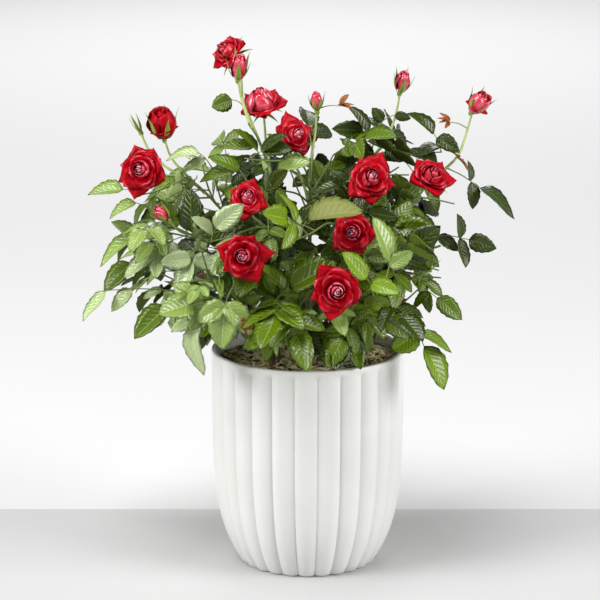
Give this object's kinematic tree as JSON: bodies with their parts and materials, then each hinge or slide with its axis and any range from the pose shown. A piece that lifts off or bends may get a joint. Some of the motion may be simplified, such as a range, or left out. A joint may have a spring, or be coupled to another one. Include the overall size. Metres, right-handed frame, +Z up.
{
  "type": "potted rose",
  "caption": "Bushy miniature rose with compound leaves, red blooms and buds on thin canes, growing in a round white reeded cover pot filled with bark mulch.",
  "frame": {"origin": "centre of the pot's flat underside, on the surface that the pot stands on", "axes": "+Z up along the pot's axis, -Y towards the front of the plant, +X to the viewer's right"},
  "size_m": [0.3473, 0.2914, 0.4307],
  "materials": {
    "pot": "satin",
    "soil": "matte",
    "stems": "satin",
    "foliage": "satin",
    "blossom": "satin"
  },
  "bodies": {
    "root": {"pot": "pot", "soil": "soil", "stem_front_low": "stems", "stem_front_low_left": "stems", "stem_front_low_right": "stems", "stem_front_left": "stems", "stem_front_right": "stems", "stem_left_low": "stems", "stem_left_middle": "stems", "stem_left_high": "stems", "stem_left_top": "stems", "stem_middle": "stems", "stem_right_top": "stems", "stem_right_high": "stems", "stem_right_middle": "stems", "stem_right_low": "stems", "stem_back_left": "stems", "stem_back_right": "stems", "stem_back_top": "stems", "stem_back_low": "stems", "stem_left_back_low": "stems", "stem_right_back_low": "stems", "foliage_front_low": "foliage", "foliage_front_low_left": "foliage", "foliage_front_low_right": "foliage", "foliage_front_left": "foliage", "foliage_front_right": "foliage", "foliage_left_low": "foliage", "foliage_left_middle": "foliage", "foliage_left_high": "foliage", "foliage_left_top": "foliage", "foliage_middle": "foliage", "foliage_right_top": "foliage", "foliage_right_high": "foliage", "foliage_right_middle": "foliage", "foliage_right_low": "foliage", "foliage_back_left": "foliage", "foliage_back_right": "foliage", "foliage_back_top": "foliage", "foliage_back_low": "foliage", "foliage_left_back_low": "foliage", "foliage_right_back_low": "foliage"}
  },
  "joints": []
}
